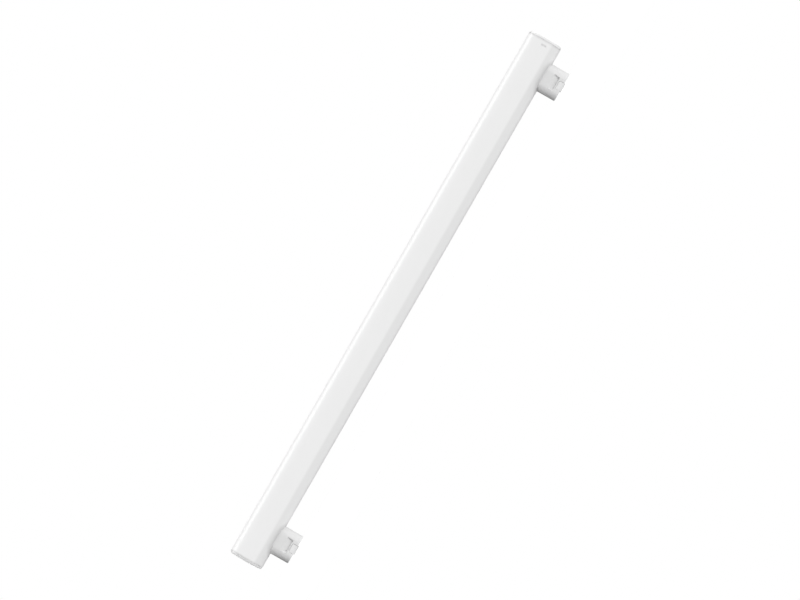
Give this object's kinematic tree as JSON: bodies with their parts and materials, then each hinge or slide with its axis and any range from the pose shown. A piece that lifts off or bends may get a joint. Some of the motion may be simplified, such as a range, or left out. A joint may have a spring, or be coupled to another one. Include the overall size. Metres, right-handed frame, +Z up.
{
  "type": "tubular light bulb",
  "caption": "Straight white tubular lamp with closed ends and oval plug-in posts near each end that carry its side contacts.",
  "frame": {"origin": "middle of the lamp's length, in the plane that its contacts rest on", "axes": "X along the tube, Z up from the contacts through the posts to the tube, Y across the tube; the posts point down"},
  "size_m": [0.5, 0.03, 0.0475],
  "materials": {
    "opal_tube": "satin opal",
    "cap_plastic": "satin",
    "post_plastic": "satin",
    "contact_metal": "nickel plated"
  },
  "bodies": {
    "root": {"light_tube": "opal_tube", "end_cap_left": "cap_plastic", "end_cap_right": "cap_plastic", "post_left": "post_plastic", "post_right": "post_plastic", "contact_left": "contact_metal", "contact_right": "contact_metal"}
  },
  "joints": []
}
